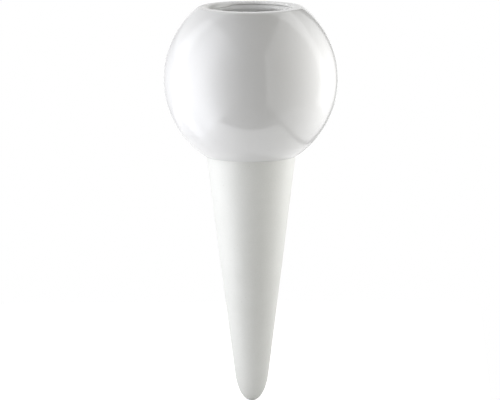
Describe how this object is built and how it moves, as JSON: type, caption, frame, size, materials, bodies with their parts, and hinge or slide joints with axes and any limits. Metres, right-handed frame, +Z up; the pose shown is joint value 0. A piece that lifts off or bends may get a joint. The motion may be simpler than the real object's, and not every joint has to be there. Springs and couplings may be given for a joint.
{
  "type": "plant waterer",
  "caption": "Round glazed water reservoir with an open mouth, bonded onto a hollow tapered spike of porous clay that stands in soil and lets the water seep out.",
  "frame": {"origin": "on the axis at soil level, at the centre of the circle where the outside of the globe meets the outside of the spike", "axes": "+Z up along the axis, from the spike to the mouth of the globe; the part is round, so X and Y are any two directions across it"},
  "size_m": [0.088, 0.088, 0.2],
  "materials": {
    "glaze": "gloss",
    "bare_clay": "matte",
    "joint_cement": "matte"
  },
  "bodies": {
    "root": {"reservoir_globe": "glaze", "clay_spike": "bare_clay", "bond_ring": "joint_cement"}
  },
  "joints": []
}
